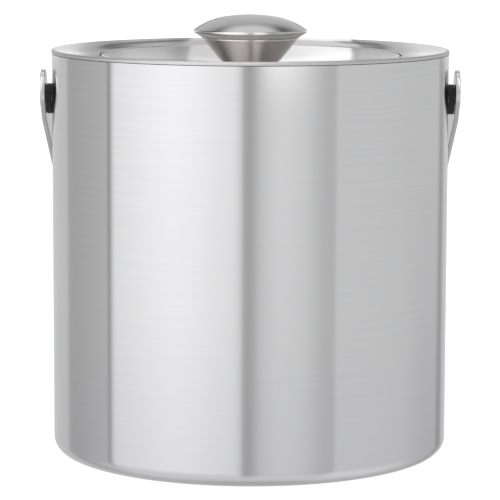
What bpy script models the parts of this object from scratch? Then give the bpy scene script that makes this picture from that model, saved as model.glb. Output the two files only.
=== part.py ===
"""Double-wall ice bucket with a lift-off lid, a saucer-shaped knob and a flat strap bail handle.

Sizes are in millimetres and are scaled to metres as the meshes are made. +Z is up and the origin
is the centre of the flat underside. The front faces -Y. The bail hangs to the back (+Y), with its
pivots on a line along X. A "drop" is measured down from the crest of the rim, a "rise" up from it.
"""

import math

import bmesh
import bpy
from mathutils import Vector

MM = 0.001

# Shared by all pieces
RIM_Z = 194.0  # crest of the rim above the table
SHEET = 0.8  # thickness of every pressed piece
GAP = 0.3  # clearance between neighbouring pieces
SEGMENTS = 48  # round the large turned pieces
KNOB_SEGMENTS = 40
FASTENER_SEGMENTS = 24

# Outer shell
WALL_R = 95.0
FOOT_FILLET = 6.8  # round between the wall and the underside
FOOT_INNER_R = 80.2  # inner edge of the turned-in foot

# Liner: lip, funnel flange, lid recess, ledge and ice well
LIP_R = 95.2
LIP_DEPTH = 1.8
LIP_CORNER_RISE = 0.04  # the lip's top corner before rounding
FUNNEL_MID_R, FUNNEL_MID_DROP = 83.8, 0.85
RECESS_R, RECESS_TOP_DROP = 72.3, 2.5
LEDGE_DROP = 5.4
WELL_TOP_R, WELL_BOTTOM_R = 68.6, 66.8
WELL_FLOOR_Z = 8.8
WELL_FILLET = 12.0

# Base disc, flush with the foot and stepped up to overlap it
BASE_FLAT_R = 78.2
BASE_STEP_R, BASE_STEP_Z = 79.4, SHEET + GAP
BASE_RIM_R = 85.0

# Lid
LID_R = RECESS_R - 0.5
LID_EDGE_DROP = 2.45
LID_HEM_DROP = 5.05
LID_SEAT_R = 17.0  # flat centre under the knob
LID_SEAT_Z = RIM_Z - 6.0
LID_HOLE_R = 2.4

# Knob
KNOB_TOP_RISE = 16.35
KNOB_EDGE_R, KNOB_EDGE_RISE = 28.1, 8.5  # where skirt and dome would meet, before rounding
KNOB_SKIRT_R, KNOB_SKIRT_RISE = 23.4, 5.6  # lower edge of the cap
KNOB_CROWN_R, KNOB_CROWN_REACH = 80.0, 12.0  # arc of the flat crown, and how far out it goes
KNOB_SHOULDER_R, KNOB_SHOULDER_REACH = 33.7, 26.5  # rounder shoulder outside it
KNOB_DOME_STEPS = 8
KNOB_BASE_R = 14.2
KNOB_BASE_Z = LID_SEAT_Z + GAP
KNOB_BODY_INSET, KNOB_BODY_SHORT = 0.25, 0.3  # body's top edge, in from and below the cap's edge

# Fasteners of the knob
INSERT_R, INSERT_H = 5.5, 7.0
INSERT_ROOF = 1.2  # solid top over the blind bore
INSERT_Z = KNOB_BASE_Z + SHEET + GAP
INSERT_TOP_Z = INSERT_Z + INSERT_H
KNOB_SCREW_R = 2.0
KNOB_BORE_R = KNOB_SCREW_R + GAP
KNOB_SCREW_END_GAP = 0.6  # between the screw's tip and the insert's roof
KNOB_WASHER_R, KNOB_WASHER_T = 6.0, 0.8
KNOB_WASHER_TOP_Z = LID_SEAT_Z - SHEET - GAP
KNOB_WASHER_Z = KNOB_WASHER_TOP_Z - KNOB_WASHER_T
# Knob screw's head, from its lower face up: (radius, depth below the bearing face)
KNOB_HEAD = [(2.6, 2.4), (3.8, 1.6), (4.0, 0.0)]

# Strap handle
STRAP_T, STRAP_W = 2.2, 18.5
STRAP_INNER_X = 97.75  # inner face of the flat round end
STRAP_LEAN = 0.085  # inward lean of each leg, mm per mm
STRAP_BEND = (3.4, 7.4)  # the lean builds up between these distances below the pivot
STRAP_BEND_STEPS = 4
STRAP_STRAIGHT = 58.7  # end of the straight leg below the pivot
STRAP_TIP = 7.2  # centre of the round end beyond the pivot
STRAP_TIP_ANGLES = (8, 22, 36, 50, 64, 78, 90)  # stations round the end, in degrees from its tip
STRAP_ARC_STEPS = 18  # from one leg to the middle of the bail
REST_ANGLE = 45.0  # degrees from straight down towards the back

# Pivots: X is the distance out from the bucket's axis
PIVOT_Z = RIM_Z - 24.1
PIN_R = 2.5
PIN_HOLE_R = PIN_R + GAP
STRAP_HOLE_R = PIN_R + 0.1
PIN_INNER_X = 86.0
PIN_TIP_INSET, PIN_TIP_LENGTH = 0.4, 0.5  # chamfer on the inner end
HEAD_R = 4.5
HEAD_X = STRAP_INNER_X + STRAP_T + 0.2  # bearing face of the head
HEAD_H = 0.8
# Outside of the pivot screw's head: (radius, distance beyond the bearing face)
HEAD_PROFILE = [
    (HEAD_R, 0.0),
    (HEAD_R, 0.25),
    (HEAD_R - 0.5, 0.55),
    (HEAD_R * 0.6, HEAD_H - 0.12),
    (0.0, HEAD_H),
]
SPACER_R = 7.2
SPACER_X = WALL_R + GAP
SPACER_LENGTH = 97.46 - SPACER_X  # up to the end face beside the strap
SPACER_CHAMFER = 0.1
PLATE_X, PLATE_T = 92.35, 1.2
PLATE_SIDE, PLATE_CORNER_R = 16.0, 3.0
WASHER_R, WASHER_T = 4.6, 0.8
WASHER_X = PLATE_X - GAP - WASHER_T
NUT_FLATS, NUT_H = 8.0, 3.7  # across flats, height
NUT_X = WASHER_X - GAP - NUT_H


# Scene, materials and objects


def clear_scene():
    for obj in list(bpy.data.objects):
        bpy.data.objects.remove(obj, do_unlink=True)
    for mesh in list(bpy.data.meshes):
        bpy.data.meshes.remove(mesh)


def material(name, color, roughness, metallic):
    mat = bpy.data.materials.new(name)
    mat.use_nodes = True
    shader = mat.node_tree.nodes["Principled BSDF"]
    shader.inputs["Base Color"].default_value = (*color, 1.0)
    shader.inputs["Roughness"].default_value = roughness
    shader.inputs["Metallic"].default_value = metallic
    mat.diffuse_color = (*color, 1.0)
    return mat


def link(name, bm, mat, location=(0, 0, 0), rotation=(0, 0, 0)):
    """Turn a bmesh into a smooth-shaded object, its location given in millimetres."""
    bmesh.ops.recalc_face_normals(bm, faces=bm.faces)
    mesh = bpy.data.meshes.new(name)
    bm.to_mesh(mesh)
    bm.free()
    mesh.shade_smooth()
    mesh.set_sharp_from_angle(angle=math.radians(35))
    mesh.materials.append(mat)
    obj = bpy.data.objects.new(name, mesh)
    obj.location = Vector(location) * MM
    obj.rotation_euler = rotation
    bpy.context.scene.collection.objects.link(obj)
    return obj


# Sections, as points (r, z)


def rounded(corners, step):
    """A path through corners (r, z) or (r, z, fillet), a fillet becoming an arc.

    Each arc is drawn in equal steps of at most `step` degrees. End corners take no fillet.
    """
    path = []
    for i, corner in enumerate(corners):
        here = Vector(corner[:2])
        if len(corner) == 2:
            path.append(here)
            continue
        fillet = corner[2]
        back = (Vector(corners[i - 1][:2]) - here).normalized()
        ahead = (Vector(corners[i + 1][:2]) - here).normalized()
        opening = back.angle(ahead)
        reach = fillet / math.tan(opening / 2)
        centre = here + (back + ahead).normalized() * (fillet / math.sin(opening / 2))
        start = here + back * reach - centre
        end = here + ahead * reach - centre
        turn = math.atan2(start.x * end.y - start.y * end.x, start.dot(end))
        count = max(1, math.ceil(abs(math.degrees(turn)) / step))
        for k in range(count + 1):
            angle = turn * k / count
            cos, sin = math.cos(angle), math.sin(angle)
            arm = Vector((start.x * cos - start.y * sin, start.x * sin + start.y * cos))
            path.append(centre + arm)
    return path


def sheet(path):
    """The closed section of a sheet: its exposed face, and back along the face on the left."""
    hidden = []
    for i, here in enumerate(path):
        directions = []
        if i > 0:
            directions.append((here - path[i - 1]).normalized())
        if i < len(path) - 1:
            directions.append((path[i + 1] - here).normalized())
        normals = [Vector((-along.y, along.x)) for along in directions]
        mean = sum(normals, Vector((0.0, 0.0))).normalized()
        # The lower limit keeps a sharp corner's mitre from running away.
        moved = here + mean * (SHEET / max(0.3, mean.dot(normals[0])))
        if abs(here.x) < 1e-9:
            moved.x = 0.0
        hidden.append(moved)
    return path + hidden[::-1]


def ring_section(inner_r, outer_r, low, high):
    return [(inner_r, low), (outer_r, low), (outer_r, high), (inner_r, high)]


# Meshes


def bridge(bm, first, second):
    """Join two closed rings of vertices by faces; a ring of one vertex is a point on the axis."""
    count = max(len(first), len(second))
    if count == 1:
        return
    for k in range(count):
        j = (k + 1) % count
        if len(first) == 1:
            bm.faces.new((first[0], second[j], second[k]))
        elif len(second) == 1:
            bm.faces.new((first[k], first[j], second[0]))
        else:
            bm.faces.new((first[k], first[j], second[j], second[k]))


def turned(name, section, mat, segments=SEGMENTS, **place):
    """An object made by turning a closed section (r, z) about Z."""
    bm = bmesh.new()
    angles = [2 * math.pi * k / segments for k in range(segments)]
    rings = []
    for point in section:
        r, z = point[0] * MM, point[1] * MM
        if abs(r) < 1e-9:
            rings.append([bm.verts.new((0, 0, z))])
        else:
            rings.append([bm.verts.new((r * math.cos(a), r * math.sin(a), z)) for a in angles])
    for ring, following in zip(rings, rings[1:] + rings[:1]):
        bridge(bm, ring, following)
    return link(name, bm, mat, **place)


def bored_mesh(angles, outline, height):
    """A flat piece from z = 0 up with a pin hole; outline(angle) gives its edge (x, y)."""
    bm = bmesh.new()

    def hole(angle):
        return PIN_HOLE_R * math.cos(angle), PIN_HOLE_R * math.sin(angle)

    rings = []
    for edge, z in ((outline, 0.0), (outline, height), (hole, height), (hole, 0.0)):
        rings.append([bm.verts.new(Vector((*edge(angle), z)) * MM) for angle in angles])
    for ring, following in zip(rings, rings[1:] + rings[:1]):
        bridge(bm, ring, following)
    return bm


def at_pivot(side, x):
    """Placing that lays a piece turned about Z along the pivot line, outwards on this side."""
    return {"location": (side * x, 0, PIVOT_Z), "rotation": (0.0, side * math.pi / 2, 0.0)}


def cut_pivot_holes(obj, name, radius, half_length, mat, segments):
    """Bore both sides of a piece with one long cylinder on the pivot line."""
    section = ring_section(0, radius, -half_length, half_length)
    cutter = turned(name, section, mat, segments, **at_pivot(1, 0))
    cutter.hide_render = True
    cutter.display_type = "WIRE"
    modifier = obj.modifiers.new("hole", "BOOLEAN")
    modifier.operation = "DIFFERENCE"
    modifier.solver = "EXACT"
    modifier.object = cutter


# Bucket


def build_outer_shell(steel, zinc):
    wall = [
        (FOOT_INNER_R, 0.0),
        (WALL_R, 0.0, FOOT_FILLET),
        (WALL_R, RIM_Z - LIP_DEPTH - GAP),
    ]
    shell = turned("outer_shell", sheet(rounded(wall, step=18)), steel)
    cut_pivot_holes(
        shell, "pivot_hole_cutter", PIN_HOLE_R, half_length=110, mat=zinc, segments=FASTENER_SEGMENTS
    )


def build_inner_liner(steel):
    # (r, z, fillet) from the lip's lower edge, over the rim and down to the middle of the well
    liner = [
        (LIP_R, RIM_Z - LIP_DEPTH),
        (LIP_R, RIM_Z + LIP_CORNER_RISE, 1.0),
        (FUNNEL_MID_R, RIM_Z - FUNNEL_MID_DROP, 140.0),
        (RECESS_R, RIM_Z - RECESS_TOP_DROP, 1.3),
        (RECESS_R, RIM_Z - LEDGE_DROP, 0.8),
        (WELL_TOP_R, RIM_Z - LEDGE_DROP, 1.3),
        (WELL_BOTTOM_R, WELL_FLOOR_Z, WELL_FILLET),
        (0.0, WELL_FLOOR_Z),
    ]
    turned("inner_liner", sheet(rounded(liner, step=40)), steel)


def build_base_plate(steel):
    # (r, z, fillet) from the middle outwards
    base = [
        (0.0, 0.0),
        (BASE_FLAT_R, 0.0, 0.5),
        (BASE_STEP_R, BASE_STEP_Z, 0.9),
        (BASE_RIM_R, BASE_STEP_Z),
    ]
    turned("base_plate", sheet(rounded(base, step=45)), steel, segments=40)


# Pivots


def build_spacer(word, side, plastic):
    section = [
        (PIN_HOLE_R, 0.0),
        (SPACER_R, 0.0),
        (SPACER_R, SPACER_LENGTH - SPACER_CHAMFER),
        (SPACER_R - SPACER_CHAMFER, SPACER_LENGTH),
        (PIN_HOLE_R, SPACER_LENGTH),
    ]
    turned("spacer_" + word, section, plastic, segments=40, **at_pivot(side, SPACER_X))


def build_pivot_screw(word, side, zinc):
    shank = HEAD_X - PIN_INNER_X
    section = [
        (0, 0),
        (PIN_R - PIN_TIP_INSET, 0),
        (PIN_R, PIN_TIP_LENGTH),
        (PIN_R, shank),
    ]
    section += [(r, shank + beyond) for r, beyond in HEAD_PROFILE]
    turned("pivot_screw_" + word, section, zinc, segments=32, **at_pivot(side, PIN_INNER_X))


def build_backing_plate(word, side, zinc):
    """A square plate with round corners."""
    half = PLATE_SIDE / 2 - PLATE_CORNER_R
    count = 32
    # Half a step off the axes, so that every point belongs to one corner.
    angles = [2 * math.pi * (k + 0.5) / count for k in range(count)]

    def outline(angle):
        cos, sin = math.cos(angle), math.sin(angle)
        return (
            math.copysign(half, cos) + PLATE_CORNER_R * cos,
            math.copysign(half, sin) + PLATE_CORNER_R * sin,
        )

    plate = bored_mesh(angles, outline, PLATE_T)
    link("backing_plate_" + word, plate, zinc, **at_pivot(side, PLATE_X))


def build_lock_washer(word, side, zinc):
    section = ring_section(PIN_HOLE_R, WASHER_R, 0, WASHER_T)
    turned("lock_washer_" + word, section, zinc, FASTENER_SEGMENTS, **at_pivot(side, WASHER_X))


def build_pivot_nut(word, side, zinc):
    """A hexagonal nut."""
    angles = [2 * math.pi * k / FASTENER_SEGMENTS for k in range(FASTENER_SEGMENTS)]

    def outline(angle):
        from_flat = math.degrees(angle) % 60 - 30
        r = NUT_FLATS / 2 / math.cos(math.radians(from_flat))
        return r * math.cos(angle), r * math.sin(angle)

    nut = bored_mesh(angles, outline, NUT_H)
    link("pivot_nut_" + word, nut, zinc, **at_pivot(side, NUT_X))


# Lid and knob


def build_lid_shell(steel):
    # (r, z, fillet) from the hem to the hole in the middle
    lid = [
        (LID_R, RIM_Z - LID_HEM_DROP),
        (LID_R, RIM_Z - LID_EDGE_DROP, 1.3),
        (LID_SEAT_R, LID_SEAT_Z, 60.0),
        (LID_HOLE_R, LID_SEAT_Z),
    ]
    turned("lid_shell", sheet(rounded(lid, step=30)), steel)


def build_knob_body(steel):
    body = [
        (LID_HOLE_R, KNOB_BASE_Z),
        (KNOB_BASE_R, KNOB_BASE_Z, 1.2),
        (KNOB_SKIRT_R - KNOB_BODY_INSET, RIM_Z + KNOB_SKIRT_RISE - KNOB_BODY_SHORT),
    ]
    turned("knob_body", sheet(rounded(body, step=22)), steel, KNOB_SEGMENTS)


def knob_sag(r):
    """How far the dome lies below its apex: a flat crown arc, then a tangent shoulder arc."""
    if r <= KNOB_CROWN_REACH:
        return KNOB_CROWN_R - math.sqrt(KNOB_CROWN_R**2 - r * r)
    start = math.asin(KNOB_CROWN_REACH / KNOB_CROWN_R)
    here = math.asin(math.sin(start) + (r - KNOB_CROWN_REACH) / KNOB_SHOULDER_R)
    crown_sag = KNOB_CROWN_R * (1 - math.cos(start))
    return crown_sag + KNOB_SHOULDER_R * (math.cos(start) - math.cos(here))


def build_knob_cap(steel):
    dome = []
    for k in range(KNOB_DOME_STEPS + 1):
        r = KNOB_SHOULDER_REACH * (1 - k / KNOB_DOME_STEPS)
        dome.append((r, RIM_Z + KNOB_TOP_RISE - knob_sag(r)))
    cap = [
        (KNOB_SKIRT_R, RIM_Z + KNOB_SKIRT_RISE),
        (KNOB_EDGE_R, RIM_Z + KNOB_EDGE_RISE, 1.0),
    ]
    turned("knob_cap", sheet(rounded(cap + dome, step=30)), steel, KNOB_SEGMENTS)


def build_knob_insert(zinc):
    section = [
        (KNOB_BORE_R, INSERT_Z),
        (INSERT_R, INSERT_Z),
        (INSERT_R, INSERT_TOP_Z),
        (0, INSERT_TOP_Z),
        (0, INSERT_TOP_Z - INSERT_ROOF),
        (KNOB_BORE_R, INSERT_TOP_Z - INSERT_ROOF),
    ]
    turned("knob_insert", section, zinc, FASTENER_SEGMENTS)


def build_knob_washer(zinc):
    section = ring_section(KNOB_BORE_R, KNOB_WASHER_R, KNOB_WASHER_Z, KNOB_WASHER_TOP_Z)
    turned("knob_washer", section, zinc, FASTENER_SEGMENTS)


def build_knob_screw(zinc):
    bearing_z = KNOB_WASHER_Z - GAP
    tip_z = INSERT_TOP_Z - INSERT_ROOF - KNOB_SCREW_END_GAP
    section = [(0, bearing_z - KNOB_HEAD[0][1])]
    section += [(r, bearing_z - depth) for r, depth in KNOB_HEAD]
    section += [(KNOB_SCREW_R, bearing_z), (KNOB_SCREW_R, tip_z), (0, tip_z)]
    turned("knob_screw", section, zinc, FASTENER_SEGMENTS)


# Handle


def strap_inner(down):
    """(x, lean) of the strap's inner face this far below the pivot."""
    start, end = STRAP_BEND
    if down <= start:
        return STRAP_INNER_X, 0.0
    if down < end:
        part = (down - start) / (end - start)
        return STRAP_INNER_X - STRAP_LEAN * part * (down - start) / 2, STRAP_LEAN * part
    return STRAP_INNER_X - STRAP_LEAN * (down - (start + end) / 2), STRAP_LEAN


def strap_stations():
    """Stations along the strap from the right tip round to the left tip.

    Each is (point, outward normal, half width): the first two are vectors (x, down), and the
    point lies on the inner face.
    """
    half_width = STRAP_W / 2
    spans = []  # (down, half width) along one leg
    for degrees in STRAP_TIP_ANGLES:
        angle = math.radians(degrees)
        spans.append((-STRAP_TIP - half_width * math.cos(angle), half_width * math.sin(angle)))
    start, end = STRAP_BEND
    for k in range(STRAP_BEND_STEPS + 1):
        spans.append((start + (end - start) * k / STRAP_BEND_STEPS, half_width))
    spans += [(STRAP_STRAIGHT * 0.5, half_width), (STRAP_STRAIGHT, half_width)]

    right = []
    for down, half in spans:
        x, slope = strap_inner(down)
        right.append((Vector((x, down)), Vector((1.0, slope)).normalized(), half))

    # The arc leaves the leg at a tangent and is centred between the two legs.
    lean = math.atan(STRAP_LEAN)
    leg_end = right[-1][0]
    radius = leg_end.x / math.cos(lean)
    centre = Vector((0.0, leg_end.y - radius * math.sin(lean)))
    for k in range(1, STRAP_ARC_STEPS + 1):
        angle = lean + (math.pi / 2 - lean) * k / STRAP_ARC_STEPS
        out = Vector((math.cos(angle), math.sin(angle)))
        right.append((centre + out * radius, out, half_width))

    left = [
        (Vector((-point.x, point.y)), Vector((-out.x, out.y)), half)
        for point, out, half in right[-2::-1]
    ]
    return right + left


def strap_mesh():
    bm = bmesh.new()
    rows = []
    for inner, out, half in strap_stations():
        outer = inner + out * STRAP_T
        corners = ((inner, -half), (outer, -half), (outer, half), (inner, half))
        rows.append([bm.verts.new(Vector((edge.x, y, -edge.y)) * MM) for edge, y in corners])
    for row, following in zip(rows, rows[1:]):
        bridge(bm, row, following)
    bm.faces.new(rows[0][::-1])
    bm.faces.new(rows[-1])
    return bm


def build_handle(steel, zinc):
    strap = link(
        "handle_strap",
        strap_mesh(),
        steel,
        location=(0, 0, PIVOT_Z),
        rotation=(math.radians(REST_ANGLE), 0, 0),
    )
    cut_pivot_holes(
        strap, "strap_hole_cutter", STRAP_HOLE_R, half_length=115, mat=zinc, segments=32
    )


def main():
    clear_scene()

    def metal(name, color, roughness):
        return material(name, color, roughness, metallic=1.0)

    wall_steel = metal("brushed_steel_wall", color=(0.56, 0.56, 0.58), roughness=0.34)
    liner_steel = metal("satin_steel_liner", color=(0.60, 0.60, 0.61), roughness=0.26)
    lid_steel = metal("brushed_steel_lid", color=(0.58, 0.58, 0.58), roughness=0.30)
    knob_steel = metal("satin_steel_knob", color=(0.40, 0.38, 0.36), roughness=0.30)
    strap_steel = metal("polished_steel_strap", color=(0.62, 0.62, 0.62), roughness=0.22)
    plastic = material("black_plastic", color=(0.012, 0.012, 0.013), roughness=0.45, metallic=0.0)
    zinc = metal("plated_fastener", color=(0.52, 0.53, 0.55), roughness=0.35)

    build_outer_shell(wall_steel, zinc)
    build_inner_liner(liner_steel)
    build_base_plate(wall_steel)
    for word, side in (("right", 1), ("left", -1)):
        build_spacer(word, side, plastic)
        build_pivot_screw(word, side, zinc)
        build_backing_plate(word, side, zinc)
        build_lock_washer(word, side, zinc)
        build_pivot_nut(word, side, zinc)

    build_lid_shell(lid_steel)
    build_knob_body(knob_steel)
    build_knob_cap(knob_steel)
    build_knob_insert(zinc)
    build_knob_washer(zinc)
    build_knob_screw(zinc)

    build_handle(strap_steel, zinc)


main()
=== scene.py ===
"""Looks of a double-wall steel ice bucket with a recessed lid, a domed knob and a swinging strap handle.

The bucket stands on z = 0 about the Z axis, the front faces -Y, and the strap pivots on an X axis.
Meshes are drawn in millimetres and stored in metres. Materials, room and camera are in metres.
"""

import math

import bmesh
import bpy
from mathutils import Euler, Matrix, Vector


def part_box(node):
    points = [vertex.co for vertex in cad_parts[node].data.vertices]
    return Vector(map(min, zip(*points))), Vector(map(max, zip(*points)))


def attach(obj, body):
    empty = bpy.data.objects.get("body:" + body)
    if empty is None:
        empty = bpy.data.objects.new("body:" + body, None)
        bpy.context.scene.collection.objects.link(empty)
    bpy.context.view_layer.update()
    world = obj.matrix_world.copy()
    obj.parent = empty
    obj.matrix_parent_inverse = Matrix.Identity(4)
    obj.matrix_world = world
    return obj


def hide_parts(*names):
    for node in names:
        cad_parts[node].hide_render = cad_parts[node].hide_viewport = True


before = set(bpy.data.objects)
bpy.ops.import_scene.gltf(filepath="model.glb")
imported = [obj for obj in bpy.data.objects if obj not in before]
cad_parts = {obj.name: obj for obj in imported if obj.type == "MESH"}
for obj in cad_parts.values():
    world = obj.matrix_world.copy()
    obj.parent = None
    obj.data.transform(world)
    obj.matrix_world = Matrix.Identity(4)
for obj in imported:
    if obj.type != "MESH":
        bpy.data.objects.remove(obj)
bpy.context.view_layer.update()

MM = 0.001
SEGMENTS = 224  # round the large turned pieces
SHEET = 0.8  # thickness of the steel sheet

# ---------------------------------------------------------------------------------------------
# Sizes read from the frame, in millimetres
# ---------------------------------------------------------------------------------------------


def low_high(node):
    low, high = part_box(node)
    return low / MM, high / MM


liner_high = low_high("inner_liner")[1]
shell_high = low_high("outer_shell")[1]
spacer_low, spacer_high = low_high("spacer_right")

CREST = round(liner_high.z, 1)  # height of the rim
LIP_R = round(liner_high.x, 1)
WALL_R = round(shell_high.x, 1)
WALL_TOP = shell_high.z
LID_R = round(low_high("lid_shell")[1].x, 1)
CAP_TOP = low_high("knob_cap")[1].z
PIVOT_Z = (spacer_low.z + spacer_high.z) / 2


# ---------------------------------------------------------------------------------------------
# Mesh helpers
# ---------------------------------------------------------------------------------------------


def fillet_arc(before, corner, after, fillet, step):
    """Points round a filleted corner, at most step degrees apart."""
    back, ahead = (before - corner).normalized(), (after - corner).normalized()
    opening = back.angle(ahead)
    reach = fillet / math.tan(opening / 2)
    centre = corner + (back + ahead).normalized() * (fillet / math.sin(opening / 2))
    start, end = corner + back * reach - centre, corner + ahead * reach - centre
    turn = math.atan2(start.x * end.y - start.y * end.x, start.dot(end))
    count = max(2, math.ceil(abs(math.degrees(turn)) / step))
    if fillet > 30:
        # a wide, shallow curve turns too little for step alone to smooth it
        count = max(count, 8)
    arc = []
    for k in range(count + 1):
        angle = turn * k / count
        cos, sin = math.cos(angle), math.sin(angle)
        arc.append(centre + Vector((start.x * cos - start.y * sin, start.x * sin + start.y * cos)))
    return arc


def rounded(corners, step, support=0.35, longest=24):
    """A path through corners (r, z) or (r, z, fillet). Straight runs get a point at support from
    each end, so that smooth shading stays flat between them, and are split at the longest length."""
    runs = []
    for i, corner in enumerate(corners):
        if len(corner) == 2:
            runs.append([Vector(corner)])
            continue
        before, here, after = (Vector(point[:2]) for point in corners[i - 1 : i + 2])
        runs.append(fillet_arc(before, here, after, corner[2], step))
    path = []
    for run in runs:
        if path:
            start, end = path[-1], run[0]
            gap = (end - start).length
            if gap > 3 * support:
                along = (end - start).normalized()
                path.append(start + along * support)
                if gap > longest:
                    pieces = math.ceil(gap / longest)
                    for k in range(1, pieces):
                        path.append(start + along * (gap * k / pieces))
                path.append(end - along * support)
        path.extend(run)
    return path


def sheet(path):
    """The closed section of a sheet: the path, and back along its copy offset to the path's left."""
    offset = []
    for i, here in enumerate(path):
        sides = []
        if i > 0:
            sides.append((here - path[i - 1]).normalized())
        if i < len(path) - 1:
            sides.append((path[i + 1] - here).normalized())
        normals = [Vector((side.y, -side.x)) for side in sides]
        mean = sum(normals, Vector((0.0, 0.0))).normalized()
        moved = here - mean * (SHEET / max(0.3, mean.dot(normals[0])))
        if abs(here.x) < 1e-9:
            moved.x = 0.0
        offset.append(moved)
    return list(path) + offset[::-1]


def link(name, bm, mat, location=(0, 0, 0), rotation=(0, 0, 0)):
    """Makes a smooth object with sharp edges above 32 degrees. Location is in millimetres."""
    bmesh.ops.recalc_face_normals(bm, faces=bm.faces)
    mesh = bpy.data.meshes.new(name)
    bm.to_mesh(mesh)
    bm.free()
    mesh.shade_smooth()
    mesh.set_sharp_from_angle(angle=math.radians(32))
    mesh.materials.append(mat)
    obj = bpy.data.objects.new(name, mesh)
    obj.location = Vector(location) * MM
    obj.rotation_euler = rotation
    bpy.context.scene.collection.objects.link(obj)
    return obj


def turned(name, section, mat, segments=SEGMENTS, **place):
    """A closed section (r, z) in millimetres turned about Z."""
    bm = bmesh.new()
    rings = []
    for point in section:
        r, z = point[0] * MM, point[1] * MM
        if abs(r) < 1e-9:
            rings.append([bm.verts.new((0, 0, z))])
            continue
        ring = []
        for k in range(segments):
            angle = 2 * math.pi * k / segments
            ring.append(bm.verts.new((r * math.cos(angle), r * math.sin(angle), z)))
        rings.append(ring)
    for this, other in zip(rings, rings[1:] + rings[:1]):
        if len(this) == 1 and len(other) == 1:
            continue
        for k in range(segments):
            j = (k + 1) % segments
            if len(this) == 1:
                bm.faces.new((this[0], other[j], other[k]))
            elif len(other) == 1:
                bm.faces.new((this[k], this[j], other[0]))
            else:
                bm.faces.new((this[k], this[j], other[j], other[k]))
    return link(name, bm, mat, **place)


def along_x(side):
    """Rotation that lays +Z along +X (side 1) or -X (side -1)."""
    return (0.0, side * math.pi / 2, 0.0)


def drill(obj, radius, z):
    """Cuts a hole along X right through obj at this height."""
    half_length = 125
    cutter = turned(
        "hole_cutter",
        [(0, -half_length), (radius, -half_length), (radius, half_length), (0, half_length)],
        obj.data.materials[0],
        segments=48,
        location=(0, 0, z),
        rotation=along_x(1),
    )
    modifier = obj.modifiers.new("hole", "BOOLEAN")
    modifier.operation = "DIFFERENCE"
    modifier.solver = "EXACT"
    modifier.object = cutter
    bpy.context.view_layer.update()
    depsgraph = bpy.context.evaluated_depsgraph_get()
    baked = bpy.data.meshes.new_from_object(obj.evaluated_get(depsgraph))
    obj.modifiers.clear()
    old = obj.data
    obj.data = baked
    baked.name = old.name + "_drilled"
    bpy.data.objects.remove(cutter, do_unlink=True)


def put(obj, body, node):
    """Tells the frame which body the piece moves with, and the node it replaces."""
    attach(obj, body)
    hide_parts(node)


# ---------------------------------------------------------------------------------------------
# Node helpers
# ---------------------------------------------------------------------------------------------

# Sockets of the Mix node, which share their names between data types
FLOAT_A, FLOAT_B, FLOAT_RESULT = 2, 3, 0
COLOR_A, COLOR_B, COLOR_RESULT = 6, 7, 2


class Nodes:
    """A small wrapper, so that a node tree reads as a list of steps."""

    def __init__(self, tree):
        self.tree = tree

    def feed(self, socket, value):
        """Links value into the socket if it is a socket itself, else sets it."""
        if isinstance(value, bpy.types.NodeSocket):
            self.tree.links.new(value, socket)
        else:
            socket.default_value = value

    def node(self, kind, inputs=None, **settings):
        made = self.tree.nodes.new(kind)
        for key, value in settings.items():
            setattr(made, key, value)
        for key, value in (inputs or {}).items():
            self.feed(made.inputs[key], value)
        return made

    def math(self, operation, *values):
        return self.node("ShaderNodeMath", dict(enumerate(values)), operation=operation).outputs[0]

    def times(self, first, second):
        return self.math("MULTIPLY", first, second)

    def plus(self, first, second):
        return self.math("ADD", first, second)

    def scaled_sum(self, value, factor, addend):
        """value * factor + addend"""
        return self.math("MULTIPLY_ADD", value, factor, addend)

    def blend(self, first, second, share):
        """A weighted mean, share being the weight of the first."""
        return self.plus(self.times(first, share), self.times(second, 1 - share))

    def spread(self, value, between, to=(0.0, 1.0), smooth=False):
        """Maps one range onto another, clamped."""
        inputs = {
            "Value": value,
            "From Min": between[0],
            "From Max": between[1],
            "To Min": to[0],
            "To Max": to[1],
        }
        kind = "SMOOTHSTEP" if smooth else "LINEAR"
        made = self.node("ShaderNodeMapRange", inputs, interpolation_type=kind)
        return made.outputs["Result"]

    def edge(self, value, at, soft, falling=False):
        """A smooth step from 0 to 1, or from 1 to 0 if falling."""
        to = (1.0, 0.0) if falling else (0.0, 1.0)
        return self.spread(value, between=(at - soft, at + soft), to=to, smooth=True)

    def within(self, value, between, soft):
        """1 between low and high, with soft edges."""
        rise = self.edge(value, between[0], soft)
        return self.times(rise, self.edge(value, between[1], soft, falling=True))

    def noise(self, vector, scale=1.0, detail=2.0, roughness=0.5):
        inputs = {"Vector": vector, "Scale": scale, "Detail": detail, "Roughness": roughness}
        return self.node("ShaderNodeTexNoise", inputs).outputs["Fac"]

    def combine(self, *parts):
        return self.node("ShaderNodeCombineXYZ", dict(enumerate(parts))).outputs[0]

    def split(self, vector):
        return self.node("ShaderNodeSeparateXYZ", {0: vector}).outputs

    def coords(self, kind="Object"):
        return self.node("ShaderNodeTexCoord").outputs[kind]

    def distance(self, x, y):
        """Distance from the Z axis."""
        return self.math("SQRT", self.plus(self.times(x, x), self.times(y, y)))

    def direction(self, part, r):
        """x or y over the distance r, kept finite on the axis."""
        return self.math("DIVIDE", part, self.math("MAXIMUM", r, 0.001))

    def rgb(self, *parts):
        return self.node("ShaderNodeCombineColor", dict(enumerate(parts))).outputs[0]


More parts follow.
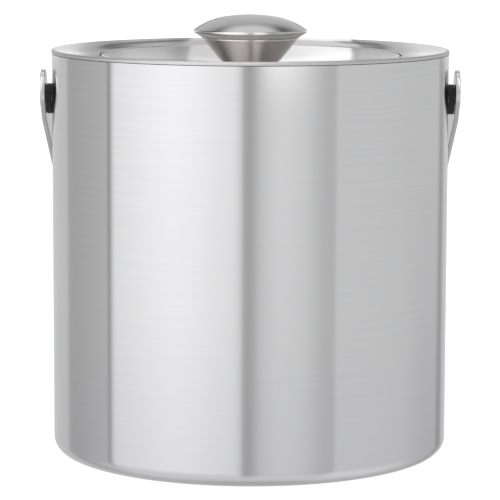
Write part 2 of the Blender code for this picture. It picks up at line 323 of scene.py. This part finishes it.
class MaterialNodes(Nodes):
    """A new material, with the steps that act on its principled shader."""

    def __init__(self, name):
        self.mat = bpy.data.materials.new(name)
        self.mat.use_nodes = True
        super().__init__(self.mat.node_tree)
        self.bsdf = self.tree.nodes["Principled BSDF"]

    def set(self, name, value):
        self.feed(self.bsdf.inputs[name], value)

    def source(self, name):
        return self.bsdf.inputs[name].links[0].from_socket

    def bare_output(self):
        """Removes the principled shader, and returns the free surface socket."""
        self.tree.nodes.remove(self.bsdf)
        return self.tree.nodes["Material Output"].inputs["Surface"]

    def surface(self, pattern, dark, light, roughness, shade_between=(0.3, 0.7)):
        """Base colour from dark to light along the pattern, and roughness from the first of its
        two values to the second."""
        shade = self.spread(pattern, between=shade_between)
        inputs = {"Factor": shade, COLOR_A: (*dark, 1.0), COLOR_B: (*light, 1.0)}
        tint = self.node("ShaderNodeMix", inputs, data_type="RGBA")
        self.set("Base Color", tint.outputs[COLOR_RESULT])
        self.set("Roughness", self.spread(pattern, between=(0.3, 0.7), to=roughness))

    def metal(self, pattern, color, shades, roughness, **settings):
        """A metal surface, its colour scaled by the darker and lighter of the two shades."""
        dark, light = (tuple(part * shade for part in color) for shade in shades)
        self.surface(pattern, dark, light, roughness, **settings)
        self.set("Metallic", 1.0)
        self.mat.diffuse_color = (*color, 1.0)

    def zone(self, mask, tone, roughness=None):
        """Where mask is 1, tone multiplies the base colour and roughness replaces the old one."""
        inputs = {"Factor": mask, COLOR_A: self.source("Base Color"), COLOR_B: (*tone, 1.0)}
        toned = self.node("ShaderNodeMix", inputs, data_type="RGBA", blend_type="MULTIPLY")
        self.set("Base Color", toned.outputs[COLOR_RESULT])
        if roughness is not None:
            inputs = {"Factor": mask, FLOAT_A: self.source("Roughness"), FLOAT_B: roughness}
            mixed = self.node("ShaderNodeMix", inputs, data_type="FLOAT")
            self.set("Roughness", mixed.outputs[FLOAT_RESULT])

    def bump(self, height, strength, distance):
        inputs = {"Strength": strength, "Distance": distance, "Height": height}
        self.set("Normal", self.node("ShaderNodeBump", inputs).outputs["Normal"])


# ---------------------------------------------------------------------------------------------
# Materials
# ---------------------------------------------------------------------------------------------


def brush_round(
    name, color, roughness, aniso, grain, fineness, contrast, height=0.000002, profile="z", zones=()
):
    """Steel brushed round the Z axis. The grain runs round the piece and varies along its profile:
    grain and fineness are its frequencies in those two directions, height its depth in metres.
    Each zone is (r from, r to, z from, z to, soft edge, tone, roughness) in millimetres."""
    look = MaterialNodes(name)
    x, y, z = look.split(look.coords())
    r = look.distance(x, y)
    around_x, around_y = look.direction(x, r), look.direction(y, r)
    if profile == "both":
        run = look.plus(z, r)
    else:
        run = z if profile == "z" else r

    def ring_noise(scale, detail, roughness):
        vector = look.combine(
            look.times(around_x, grain * scale),
            look.times(around_y, grain * scale),
            look.times(run, fineness * scale),
        )
        return look.noise(vector, detail=detail, roughness=roughness)

    fine = ring_noise(scale=1.0, detail=3.0, roughness=0.65)
    coarse = ring_noise(scale=0.35, detail=2.0, roughness=0.5)
    cloud = look.noise(look.combine(x, y, z), scale=22.0, detail=3.0, roughness=0.55)
    lines = look.blend(fine, coarse, share=0.75)
    look.metal(
        look.blend(lines, cloud, share=0.9),
        color,
        shades=(1 - contrast, 1 + contrast),
        roughness=(roughness * 1.12, roughness * 0.9),
        shade_between=(0.32, 0.68),
    )
    look.set("Anisotropic", aniso)
    look.set("Anisotropic Rotation", 0.25)
    tangent = look.node("ShaderNodeTangent", direction_type="RADIAL", axis="Z")
    look.set("Tangent", tangent.outputs[0])
    look.bump(lines, strength=0.25, distance=height)
    for r_from, r_to, z_from, z_to, soft, tone, rough in zones:
        in_r = look.within(r, between=(r_from * MM, r_to * MM), soft=soft * MM)
        in_z = look.within(z, between=(z_from * MM, z_to * MM), soft=soft * MM)
        look.zone(look.times(in_r, in_z), tone, rough)
    return look


def turned_steel(name, **settings):
    return brush_round(name, **settings).mat


def wall_finish(name):
    """The brushed wall, with a painted highlight a little brighter under the rim, and painted shade
    darker towards the foot and on the lower right edge.
    """
    look = brush_round(
        name,
        color=(0.72, 0.72, 0.725),
        roughness=0.165,
        aniso=1.0,
        grain=2.0,
        fineness=2400.0,
        contrast=0.018,
        height=0.0000012,
    )
    x, y, z = look.split(look.coords())
    across = look.direction(x, look.distance(x, y))
    front = look.spread(y, between=(-0.03, 0.0), to=(1.0, 0.0))
    # painted highlight: a bright patch under the rim, just right of the middle, on the front
    near_rim = look.spread(z, between=((CREST - 30) * MM, (CREST - 2) * MM))
    near_rim = look.times(near_rim, near_rim)
    highlight_across = look.times(
        look.spread(across, between=(0.0, 0.10), smooth=True),
        look.spread(across, between=(0.14, 0.40), to=(1.0, 0.0), smooth=True),
    )
    painted_highlight = look.times(look.times(near_rim, highlight_across), front)
    look.zone(painted_highlight, tone=(1.28, 1.27, 1.27))
    # painted shade: darker towards the foot, all round
    foot = look.spread(z, between=(0.005, 0.080), to=(1.0, 0.0))
    look.zone(foot, tone=(0.94, 0.94, 0.945))
    # painted shade: darker on the lower part of the right edge, on the front
    low_right = look.times(
        look.spread(across, between=(0.72, 0.93), smooth=True),
        look.spread(z, between=(0.01, 0.15), to=(1.0, 0.0)),
    )
    look.zone(look.times(low_right, front), tone=(0.86, 0.86, 0.87))
    return look.mat


def plain_steel(name, color, roughness):
    """Tumbled or plated metal with a fine even texture."""
    look = MaterialNodes(name)
    coords = look.coords()
    fine = look.noise(coords, scale=900.0, detail=3.0, roughness=0.6)
    cloud = look.noise(coords, scale=72.0)
    look.metal(
        look.blend(fine, cloud, share=0.6),
        color,
        shades=(0.95, 1.05),
        roughness=(roughness * 1.15, roughness * 0.88),
    )
    look.bump(fine, strength=0.3, distance=0.000004)
    return look.mat


def strap_finish(name, color, roughness):
    """Steel strip brushed along its length. Its UV map runs along and across it, in metres."""
    look = MaterialNodes(name)
    along, across, _ = look.split(look.node("ShaderNodeUVMap", uv_map="strip").outputs[0])
    grain = look.combine(look.times(along, 55.0), look.times(across, 3200.0), 0.0)
    lines = look.noise(grain, detail=3.0, roughness=0.6)
    cloud = look.noise(look.coords(), scale=60.0)
    look.metal(
        look.blend(lines, cloud, share=0.8),
        color,
        shades=(0.93, 1.05),
        roughness=(roughness * 1.15, roughness * 0.85),
    )
    look.bump(lines, strength=0.25, distance=0.000002)
    return look.mat


def plastic_finish(name):
    """Moulded black nylon: a fine spark-eroded grain with a soft sheen."""
    look = MaterialNodes(name)
    coords = look.coords()
    grain = look.noise(coords, scale=3200.0, roughness=0.6)
    flow = look.noise(coords, scale=260.0)
    mixed = look.blend(grain, flow, share=0.6)
    look.surface(
        mixed, dark=(0.009, 0.009, 0.010), light=(0.017, 0.017, 0.018), roughness=(0.52, 0.40)
    )
    look.set("Specular IOR Level", 0.45)
    look.bump(mixed, strength=0.35, distance=0.00003)
    look.mat.diffuse_color = (0.012, 0.012, 0.013, 1.0)
    return look.mat


SHADED = (0.30, 0.30, 0.30)  # tone of the corner between the lid and the liner

# r from, r to, z from, z to, soft edge, tone, roughness
LINER_ZONES = [
    # the rolled lip is satin, and toned darker as painted shade; the corner that the lid drops into is
    # in shade, painted as a dark tone
    (94.05, 99, CREST - 9, CREST + 9, 0.1, (0.93, 0.92, 0.91), 0.50),
    (71.0, 72.75, CREST - 9, CREST - 2.75, 0.1, SHADED, 0.5),
]
LID_ZONES = [(71.35, 99, CREST - 9, CREST - 2.75, 0.1, SHADED, 0.5)]
KNOB_ZONES = [
    # painted highlight on the rim of the knob, toned brighter; its underside is satin and toned lighter
    # as painted light
    (26.2, 40, CREST + 7.6, CREST + 9.0, 0.25, (1.20, 1.17, 1.13), None),
    (10, 40, CREST, CREST + 7.6, 0.25, (1.24, 1.19, 1.14), 0.6),
]
# painted highlight: the upper edge of the cone is toned brighter
CONE_ZONES = [(10, 40, CREST + 4.6, CREST + 9, 0.15, (1.3, 1.3, 1.3), 0.3)]

wall_steel = wall_finish("wall_steel")
liner_steel = turned_steel(
    "liner_steel",
    color=(0.72, 0.715, 0.715),
    roughness=0.11,
    aniso=0.3,
    grain=9.0,
    fineness=1900.0,
    contrast=0.02,
    height=0.000001,
    profile="both",
    zones=LINER_ZONES,
)
lid_steel = turned_steel(
    "lid_steel",
    color=(0.72, 0.715, 0.715),
    roughness=0.12,
    aniso=0.8,
    grain=3.0,
    fineness=2400.0,
    contrast=0.02,
    height=0.000001,
    profile="r",
    zones=LID_ZONES,
)
knob_steel = turned_steel(
    "knob_steel",
    color=(0.61, 0.61, 0.605),
    roughness=0.20,
    aniso=0.5,
    grain=5.0,
    fineness=2200.0,
    contrast=0.02,
    height=0.000001,
    profile="both",
    zones=KNOB_ZONES,
)
cone_steel = turned_steel(
    "knob_cone_steel",
    color=(0.66, 0.625, 0.60),
    roughness=0.34,
    aniso=1.0,
    grain=2.5,
    fineness=2600.0,
    contrast=0.02,
    height=0.000001,
    profile="both",
    zones=CONE_ZONES,
)
base_steel = turned_steel(
    "base_steel",
    color=(0.66, 0.66, 0.665),
    roughness=0.26,
    aniso=0.8,
    grain=8.0,
    fineness=1500.0,
    contrast=0.05,
    profile="r",
)
strap_steel = strap_finish("strap_steel", color=(0.70, 0.695, 0.69), roughness=0.16)
black_plastic = plastic_finish("spacer_plastic")
zinc = plain_steel("fastener_steel", color=(0.60, 0.61, 0.62), roughness=0.30)
screw_steel = turned_steel(
    "screw_steel",
    color=(0.64, 0.64, 0.645),
    roughness=0.24,
    aniso=0.6,
    grain=3.0,
    fineness=4000.0,
    contrast=0.04,
    profile="r",
)


def plate_with_zinc(node):
    """Keeps a fastener from the frame as it is, in plated steel."""
    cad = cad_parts[node]
    cad.data.materials.clear()
    cad.data.materials.append(zinc)


# ---------------------------------------------------------------------------------------------
# Bucket. Outlines are corners (r, z) or (r, z, fillet).
# ---------------------------------------------------------------------------------------------

PIVOT_HOLE_R = 2.8  # in the wall and the spacer bushes
LEDGE_R, LEDGE_Z = 72.3, CREST - 5.4  # step in the liner that the lid sits in
LINER_FLOOR_Z = 8.8
BASE_RIM_Z = 1.1

# Spacer bush and rivet: distances from the Z axis along X, and radii
BUSH_IN, BUSH_OUT, BUSH_R = 95.3, 97.46, 7.2
RIVET_IN, RIVET_R = 86.0, 2.5
HEAD_IN, HEAD_OUT, HEAD_R = 100.15, 100.95, 4.5


def build_wall():
    outline = [(80.2, 0.0), (WALL_R, 0.0, 6.8), (WALL_R, WALL_TOP - 0.35), (WALL_R, WALL_TOP)]
    wall = turned("wall_skin", sheet(rounded(outline, step=5)), wall_steel)
    drill(wall, PIVOT_HOLE_R, PIVOT_Z)
    put(wall, "bucket", "outer_shell")


def build_liner():
    """From the rolled lip over the rim, down past the ledge to the middle of the floor."""
    outline = [
        (LIP_R, CREST - 1.8),
        (LIP_R, CREST + 0.04, 1.0),
        (83.8, CREST - 0.85, 140.0),
        (LEDGE_R, CREST - 2.5, 1.3),
        (LEDGE_R, LEDGE_Z, 0.8),
        (68.6, LEDGE_Z, 1.3),
        (66.8, LINER_FLOOR_Z, 12.0),
        (0.0, LINER_FLOOR_Z),
    ]
    liner = turned("rim_and_liner", sheet(rounded(outline, step=8)), liner_steel)
    put(liner, "bucket", "inner_liner")


def build_base():
    outline = [(0.0, 0.0), (78.2, 0.0, 0.5), (79.4, BASE_RIM_Z, 0.9), (85.0, BASE_RIM_Z)]
    section = sheet(rounded(outline, step=15, support=0.3))
    base = turned("base_disc", section, base_steel, segments=160)
    put(base, "bucket", "base_plate")


def build_bush(side, word):
    length = BUSH_OUT - BUSH_IN
    section = [
        (PIVOT_HOLE_R, 0.0),
        (BUSH_R - 0.2, 0.0),
        (BUSH_R, 0.15),
        (BUSH_R, 0.5),
        (BUSH_R, 1.0),
        (BUSH_R, length - 0.12),
        (BUSH_R - 0.03, length - 0.04),
        (BUSH_R - 0.1, length),
        (PIVOT_HOLE_R, length),
    ]
    bush = turned(
        "spacer_bush_" + word,
        section,
        black_plastic,
        segments=72,
        location=(side * BUSH_IN, 0, PIVOT_Z),
        rotation=along_x(side),
    )
    put(bush, "bucket", "spacer_" + word)


def build_rivet(side, word):
    head, top = HEAD_IN - RIVET_IN, HEAD_OUT - RIVET_IN
    edge = 0.28  # height at which the dome of the head starts
    section = [
        (0, 0),
        (2.1, 0),
        (RIVET_R, 0.5),
        (RIVET_R, 1.0),
        (RIVET_R, head - 0.4),
        (RIVET_R, head),
        (HEAD_R - 0.15, head),
        (HEAD_R, head + 0.12),
    ]
    for k in range(8):
        angle = k / 8 * math.pi / 2
        z = head + edge + (top - head - edge) * math.sin(angle)
        section.append((HEAD_R * math.cos(angle), z))
    section.append((0, top))
    rivet = turned(
        "pivot_rivet_" + word,
        section,
        screw_steel,
        segments=64,
        location=(side * RIVET_IN, 0, PIVOT_Z),
        rotation=along_x(side),
    )
    put(rivet, "bucket", "pivot_screw_" + word)


build_wall()
build_liner()
build_base()
for side, word in ((1, "right"), (-1, "left")):
    build_bush(side, word)
    build_rivet(side, word)
    for node in ("backing_plate_", "lock_washer_", "pivot_nut_"):
        plate_with_zinc(node + word)


# ---------------------------------------------------------------------------------------------
# Lid and knob. Outlines are corners (r, z) or (r, z, fillet).
# ---------------------------------------------------------------------------------------------

BOLT_HOLE_R = 2.4  # in the lid and the knob cone
DISH_Z = CREST - 6.0  # middle of the lid
CONE_FOOT_Z = 188.3

# Dome of the knob: a crown curve out to CROWN_REACH, then a tighter shoulder curve
CROWN_R, CROWN_REACH = 80.0, 12.0
SHOULDER_R, SHOULDER_REACH = 33.7, 26.5
DOME_STEPS = 28


def build_lid():
    outline = [
        (LID_R, CREST - 5.05),
        (LID_R, CREST - 2.45, 1.3),
        (17.0, DISH_Z, 60.0),
        (BOLT_HOLE_R, DISH_Z),
    ]
    lid = turned("lid_dish", sheet(rounded(outline, step=8)), lid_steel)
    put(lid, "lid", "lid_shell")


def build_knob_cone():
    outline = [
        (BOLT_HOLE_R, CONE_FOOT_Z),
        (14.2, CONE_FOOT_Z, 1.2),
        (22.62, CREST + 4.65, 0.15),
        (23.12, CREST + 4.72, 0.2),
        (23.15, CREST + 5.3),
    ]
    section = sheet(rounded(outline, step=12, support=0.3))
    cone = turned("knob_cone", section, cone_steel, segments=160)
    put(cone, "lid", "knob_body")


def knob_sag(r):
    """How far the dome lies below its top at this radius."""
    if r <= CROWN_REACH:
        return CROWN_R - math.sqrt(CROWN_R**2 - r * r)
    start = math.asin(CROWN_REACH / CROWN_R)
    here = math.asin(math.sin(start) + (r - CROWN_REACH) / SHOULDER_R)
    crown_sag = CROWN_R * (1 - math.cos(start))
    return crown_sag + SHOULDER_R * (math.cos(start) - math.cos(here))


def build_knob_dome():
    dome = []
    for k in range(DOME_STEPS + 1):
        r = SHOULDER_REACH * (1 - k / DOME_STEPS)
        dome.append(Vector((r, CAP_TOP - knob_sag(r))))
    rim = [(23.4, CREST + 5.6), (28.1, CREST + 8.5, 1.0), tuple(dome[0])]
    path = rounded(rim, step=8, support=0.2) + dome[1:]
    cap = turned("knob_dome", sheet(path), knob_steel, segments=160)
    put(cap, "lid", "knob_cap")


def build_bolt():
    """The bolt up into the knob, with a recess in the underside of its head."""
    low, high = low_high("knob_screw")
    foot, top = low.z, high.z
    head_top = foot + 2.4
    shank_r = 2.0
    section = [
        (0, foot + 0.9),
        (1.1, foot + 0.9),
        (1.5, foot + 0.15),
        (1.7, foot),
        (2.6, foot),
        (3.0, foot + 0.12),
        (3.5, foot + 0.5),
        (3.8, foot + 1.0),
        (3.95, foot + 1.6),
        (4.0, head_top - 0.1),
        (3.9, head_top),
        (shank_r, head_top),
        (shank_r, top - 0.4),
        (1.7, top),
        (0, top),
    ]
    bolt = turned("knob_bolt", section, screw_steel, segments=64)
    put(bolt, "lid", "knob_screw")


def build_washer():
    low, high = low_high("knob_washer")
    foot, top = low.z, high.z
    hole_r, outer_r = 2.3, 6.0
    section = [
        (hole_r, foot),
        (outer_r - 0.2, foot),
        (outer_r, foot + 0.15),
        (outer_r, top - 0.12),
        (outer_r - 0.12, top),
        (hole_r, top),
    ]
    washer = turned("knob_bolt_washer", section, screw_steel, segments=64)
    put(washer, "lid", "knob_washer")


build_lid()
build_knob_cone()
build_knob_dome()
build_bolt()
build_washer()
plate_with_zinc("knob_insert")


# ---------------------------------------------------------------------------------------------
# Bail strap: two legs joined by an arch, drawn hanging straight down from the pivot at z = 0 and
# then swung to the back. "Down" is the distance below the pivot, in millimetres.
# ---------------------------------------------------------------------------------------------

STRAP_T, STRAP_W = 2.2, 18.5
STRAP_INNER_X = 97.75  # inner face beside the pivot
STRAP_LEAN = 0.085  # inward slope of the legs
STRAP_BEND = (3.4, 7.4)  # the slope grows between these
STRAP_STRAIGHT = 58.7  # the arch starts here
STRAP_TIP = 7.2  # centre of the rounded end, above the pivot
STRAP_HOLE_R = 2.6
STRAP_FILLET = 0.42  # along every edge
REST_ANGLE = 45.0
TIP_STEPS, ARCH_STEPS, FILLET_STEPS = 24, 64, 4

LEG_DOWNS = [-6.4, -4.4, -2.4, -0.4, 1.6, 3.4, 3.9, 4.4, 4.9, 5.4, 5.9, 6.4, 6.9, 7.4]
LEG_DOWNS += [9.5 + 4.8 * k for k in range(10)] + [55.5, STRAP_STRAIGHT]


def strap_inner(down):
    """x and slope of the right leg's inner face."""
    start, end = STRAP_BEND
    if down <= start:
        return STRAP_INNER_X, 0.0
    if down < end:
        part = (down - start) / (end - start)
        return STRAP_INNER_X - STRAP_LEAN * part * (down - start) / 2, STRAP_LEAN * part
    return STRAP_INNER_X - STRAP_LEAN * (down - (start + end) / 2), STRAP_LEAN


def leg_station(down, half):
    x, slope = strap_inner(down)
    return Vector((x, down)), Vector((1.0, slope)).normalized(), half, down


def strap_stations(inset):
    """(inner point, outward normal, half width, run) from the right tip to the left tip, with the
    outline drawn in by inset."""
    lean = math.atan(STRAP_LEAN)
    half = STRAP_W / 2 - inset
    right = []
    for k in range(TIP_STEPS + 1):
        angle = math.pi / 2 * k / TIP_STEPS
        right.append(leg_station(-STRAP_TIP - half * math.cos(angle), half * math.sin(angle)))
    right += [leg_station(down, half) for down in LEG_DOWNS]
    leg_end = right[-1][0]
    radius = leg_end.x / math.cos(lean)
    centre = Vector((0.0, leg_end.y - radius * math.sin(lean)))
    for k in range(1, ARCH_STEPS + 1):
        angle = lean + (math.pi / 2 - lean) * k / ARCH_STEPS
        out = Vector((math.cos(angle), math.sin(angle)))
        run = STRAP_STRAIGHT + radius * (angle - lean)
        right.append((centre + out * radius, out, half, run))
    total = right[-1][3] * 2
    left = []
    for point, normal, width, run in right[-2::-1]:
        mirrored = Vector((-point.x, point.y)), Vector((-normal.x, normal.y))
        left.append((*mirrored, width, total - run))
    return right + left


def strap_levels():
    """(inset, rise) across the thickness: the inner face and its fillet, the middle of the edge,
    then the same mirrored to the outer face."""
    lower = [(STRAP_FILLET + 0.45, 0.0), (STRAP_FILLET + 0.12, 0.0)]
    for k in range(FILLET_STEPS + 1):
        angle = math.pi / 2 * k / FILLET_STEPS
        inset = STRAP_FILLET * (1 - math.sin(angle))
        lower.append((inset, STRAP_FILLET * (1 - math.cos(angle))))
    upper = [(inset, STRAP_T - rise) for inset, rise in reversed(lower)]
    return lower + [(0.0, STRAP_T / 2)] + upper


def strap_mesh():
    bm = bmesh.new()
    uv_layer = bm.loops.layers.uv.new("strip")
    uv_of = {}
    loops = []
    for inset, rise in strap_levels():
        stations = strap_stations(inset)
        loop = []
        # out along the +Y edge, and back along the -Y edge
        for side, part in ((1, stations), (-1, stations[-2:0:-1])):
            for point, normal, half, run in part:
                spot = point + normal * rise
                vert = bm.verts.new(Vector((spot.x, side * half, -spot.y)) * MM)
                uv_of[vert] = (run * MM, side * half * MM)
                loop.append(vert)
        loops.append(loop)
    around = len(loops[0])
    for this, other in zip(loops, loops[1:]):
        for k in range(around):
            j = (k + 1) % around
            bm.faces.new((this[k], this[j], other[j], other[k]))
    # the inner and outer faces, closed by a triangle at each tip
    for loop in (loops[0], loops[-1]):
        for i in range(len(stations) - 1):
            corners = (loop[i], loop[i + 1], loop[-i - 1], loop[-i])
            bm.faces.new(list(dict.fromkeys(corners)))
    for face in bm.faces:
        for corner in face.loops:
            corner[uv_layer].uv = uv_of[corner.vert]
    return bm


def build_strap():
    strap = link("bail_strap", strap_mesh(), strap_steel)
    drill(strap, STRAP_HOLE_R, 0.0)
    strap.location = (0, 0, PIVOT_Z * MM)
    strap.rotation_euler = (math.radians(REST_ANGLE), 0, 0)
    put(strap, "handle", "handle_strap")


build_strap()


# ---------------------------------------------------------------------------------------------
# Studio: pale floor, room light made of soft panels, a reflector card behind the object
# ---------------------------------------------------------------------------------------------

scene = bpy.context.scene
scene.view_settings.view_transform = "Standard"
scene.view_settings.look = "None"
scene.view_settings.exposure = 0.0
scene.view_settings.gamma = 1.0

ROOM = 0.66  # brightness of the room before the panels change it

# Each panel: facing, azimuth from/to (degrees, + towards +X; "front" counts from -Y, "back" from
# +Y), soft edge left/right, elevation from/to, soft edge low/high, change in brightness.
PANELS = [
    # grey screen on the left
    ("front", -131, -86, 3, 1, -60, 80, 25, 20, -0.09),
    ("front", -131, -112, 3, 26, -60, 80, 25, 20, -0.11),
    # shadow line between the grey screen and the key softbox
    ("front", -89.5, -87.5, 1.0, 0.6, -20, 40, 16, 44, -0.34),
    # large key softbox on the left
    ("front", -85.7, -5.6, 1.5, 5.0, -12, 75, 20, 20, 0.46),
    ("front", -66, -24, 38, 30, -12, 75, 20, 20, 0.42),
    # gap between the softboxes, where the camera stands
    ("front", -4.5, 3.0, 0.5, 4.2, -36, 24, 14, 16, -0.215),
    # fill softbox on the right
    ("front", 9.0, 34, 10, 20, -10, 75, 8, 20, 0.29),
    # white screen on the right, and the darker strip beside it
    ("front", 50.4, 100, 1.0, 45, -60, 75, 25, 20, 0.08),
    ("front", 38, 50.0, 8, 0.8, -50, 70, 25, 20, -0.08),
    # upper halves of the softboxes
    ("front", 9.0, 36, 3, 5, 24, 80, 8, 6, 0.75),
    ("front", -62, -10, 8, 4, 24, 80, 8, 6, 0.20),
    # dark areas high up: right, left and far right
    ("front", 42, 82, 5, 12, 20, 66, 8, 8, -0.34),
    ("front", -150, -76, 10, 6, 20, 60, 8, 8, -0.34),
    ("front", 84, 150, 5, 10, 20, 60, 8, 8, -0.22),
    # pale floor in front
    ("front", -110, 110, 14, 14, -72, -22, 8, 8, 0.16),
    # dark edge of the screen far right
    ("front", 142, 151, 5, 6, -60, 60, 20, 20, -0.28),
    # ceiling over the back of the room, seen in the knob, and a dark band below it
    ("back", -70, 60, 20, 14, 58, 130, 3.5, 10, 0.29),
    ("back", -70, 60, 20, 14, 47, 55, 5, 2.5, -0.24),
    # dark stand in the back, to the right
    ("back", 17, 34, 5, 6, 36, 53, 7, 5, -0.22),
]


def room_light():
    """Lights and reflections see the panels, while the camera sees plain white."""
    world = bpy.data.worlds.new("studio")
    world.use_nodes = True
    world.node_tree.nodes.clear()
    room = Nodes(world.node_tree)
    degrees = 180 / math.pi
    x, y, z = room.split(room.coords("Generated"))
    azimuth = {
        "front": room.times(room.math("ARCTAN2", x, room.times(y, -1.0)), degrees),
        "back": room.times(room.math("ARCTAN2", x, y), degrees),
    }
    up = room.times(room.math("ARCSINE", z), degrees)
    level = ROOM
    for facing, left, right, soft_left, soft_right, low, high, soft_low, soft_high, gain in PANELS:
        mask = room.edge(azimuth[facing], left, soft_left)
        mask = room.times(mask, room.edge(azimuth[facing], right, soft_right, falling=True))
        mask = room.times(mask, room.edge(up, low, soft_low))
        mask = room.times(mask, room.edge(up, high, soft_high, falling=True))
        level = room.scaled_sum(mask, gain, level)
    # the floor under the object, away from the lights
    under = room.spread(up, between=(-90, -45), to=(0.78, 1.0), smooth=True)
    darkest, blue_cast = 0.02, 1.008
    level = room.math("MAXIMUM", room.times(level, under), darkest)
    color = room.rgb(level, level, room.times(level, blue_cast))
    lit = room.node("ShaderNodeBackground", {"Color": color})
    white = room.node("ShaderNodeBackground", {"Color": (1, 1, 1, 1), "Strength": 1.02})
    camera_ray = room.node("ShaderNodeLightPath").outputs["Is Camera Ray"]
    inputs = {0: camera_ray, 1: lit.outputs[0], 2: white.outputs[0]}
    mix = room.node("ShaderNodeMixShader", inputs)
    room.node("ShaderNodeOutputWorld", {"Surface": mix.outputs[0]})
    scene.world = world


def build_floor():
    """A large pale disc that glows by itself and still takes shadows."""
    look = MaterialNodes("floor_paper")
    surface = look.bare_output()
    fibre = look.noise(look.coords(), scale=240.0, detail=3.0)
    shade = look.spread(fibre, between=(0.3, 0.7), to=(0.985, 1.0))
    color = look.rgb(shade, shade, shade)
    glow = look.node("ShaderNodeEmission", {"Strength": 0.86, "Color": color})
    paper = look.node("ShaderNodeBsdfDiffuse", {"Color": (0.42, 0.42, 0.42, 1)})
    both = look.node("ShaderNodeAddShader", {0: glow.outputs[0], 1: paper.outputs[0]})
    look.feed(surface, both.outputs[0])
    bm = bmesh.new()
    bmesh.ops.create_circle(bm, cap_ends=True, segments=96, radius=9.0)
    obj = link("studio_floor", bm, look.mat, location=(0, 0, -0.05))
    if obj.data.polygons[0].normal.z < 0:
        obj.data.flip_normals()
    obj.visible_glossy = False
    obj.visible_diffuse = False


def card_look():
    """Glowing areas of the card, laid out in x and z in metres."""
    look = MaterialNodes("card")
    surface = look.bare_output()
    x, _, z = look.split(look.coords())
    # even grey, with a lighter strip on the left and a step up on the right
    strip = look.within(x, between=(-0.071, -0.043), soft=0.007)
    level = look.scaled_sum(strip, 0.15, 0.44)
    step = look.spread(x, between=(0.0585, 0.0610))
    level = look.scaled_sum(step, 0.10, level)
    # bright middle, stronger to the right and weaker at the top
    bright = look.times(
        look.spread(x, between=(-0.0342, -0.0326)),
        look.spread(x, between=(0.0555, 0.0566), to=(1.0, 0.0)),
    )
    fade = look.spread(z, between=(0.2325, 0.2390), to=(1.0, 0.45), smooth=True)
    gain = look.spread(x, between=(-0.033, 0.048), to=(0.31, 0.76))
    level = look.scaled_sum(look.times(bright, fade), gain, level)
    # lighter ends
    left_end = look.spread(x, between=(-0.104, -0.084), to=(0.34, 0.0), smooth=True)
    level = look.plus(level, left_end)
    right_end = look.spread(x, between=(0.078, 0.096), to=(0.0, 0.22), smooth=True)
    level = look.plus(level, right_end)
    # a dark rail across the card, broken in the middle
    rail = look.plus(
        look.within(x, between=(-0.081, -0.035), soft=0.004),
        look.within(x, between=(0.047, 0.072), soft=0.006),
    )
    rail = look.times(rail, look.within(z, between=(0.2335, 0.2465), soft=0.002))
    level = look.times(level, look.scaled_sum(rail, -0.80, 1.0))
    # the foot of the card is lit more strongly
    foot = look.spread(z, between=(0.200, 0.208), to=(1.35, 1.0), smooth=True)
    level = look.times(level, foot)
    glow = look.node("ShaderNodeEmission", {"Color": look.rgb(level, level, level)})
    look.feed(surface, glow.outputs[0])
    return look.mat


def build_reflector():
    """A card behind the object, hidden from the camera, that the lid and the rim mirror."""
    mat = card_look()
    half_width, y, low, high = 0.30, 0.26, 0.178, 0.285
    corners = [
        (-half_width, y, low),
        (half_width, y, low),
        (half_width, y, high),
        (-half_width, y, high),
    ]
    bm = bmesh.new()
    bm.faces.new([bm.verts.new(corner) for corner in corners])
    obj = link("reflector_card", bm, mat)
    obj.visible_camera = False
    obj.visible_diffuse = False
    obj.visible_shadow = False
    obj.visible_transmission = False


room_light()
build_floor()
build_reflector()


# ---------------------------------------------------------------------------------------------
# Camera: in front, looking slightly down
# ---------------------------------------------------------------------------------------------

CAMERA_PLACE = (0.0, -1.27505, 0.27301)
CAMERA_DOWN, CAMERA_ROLL = 7.879, 0.17  # degrees

camera_data = bpy.data.cameras.new("camera")
camera = bpy.data.objects.new("camera", camera_data)
scene.collection.objects.link(camera)
camera_data.sensor_width = 36.0
camera_data.lens = 191.395
camera_data.shift_x = 0.0003
camera_data.clip_start = 0.05
camera_data.clip_end = 60.0
camera.matrix_world = (
    Matrix.Translation(CAMERA_PLACE)
    @ Euler((math.radians(90 - CAMERA_DOWN), 0, 0)).to_matrix().to_4x4()
    @ Matrix.Rotation(math.radians(CAMERA_ROLL), 4, "Z")
)
scene.camera = camera
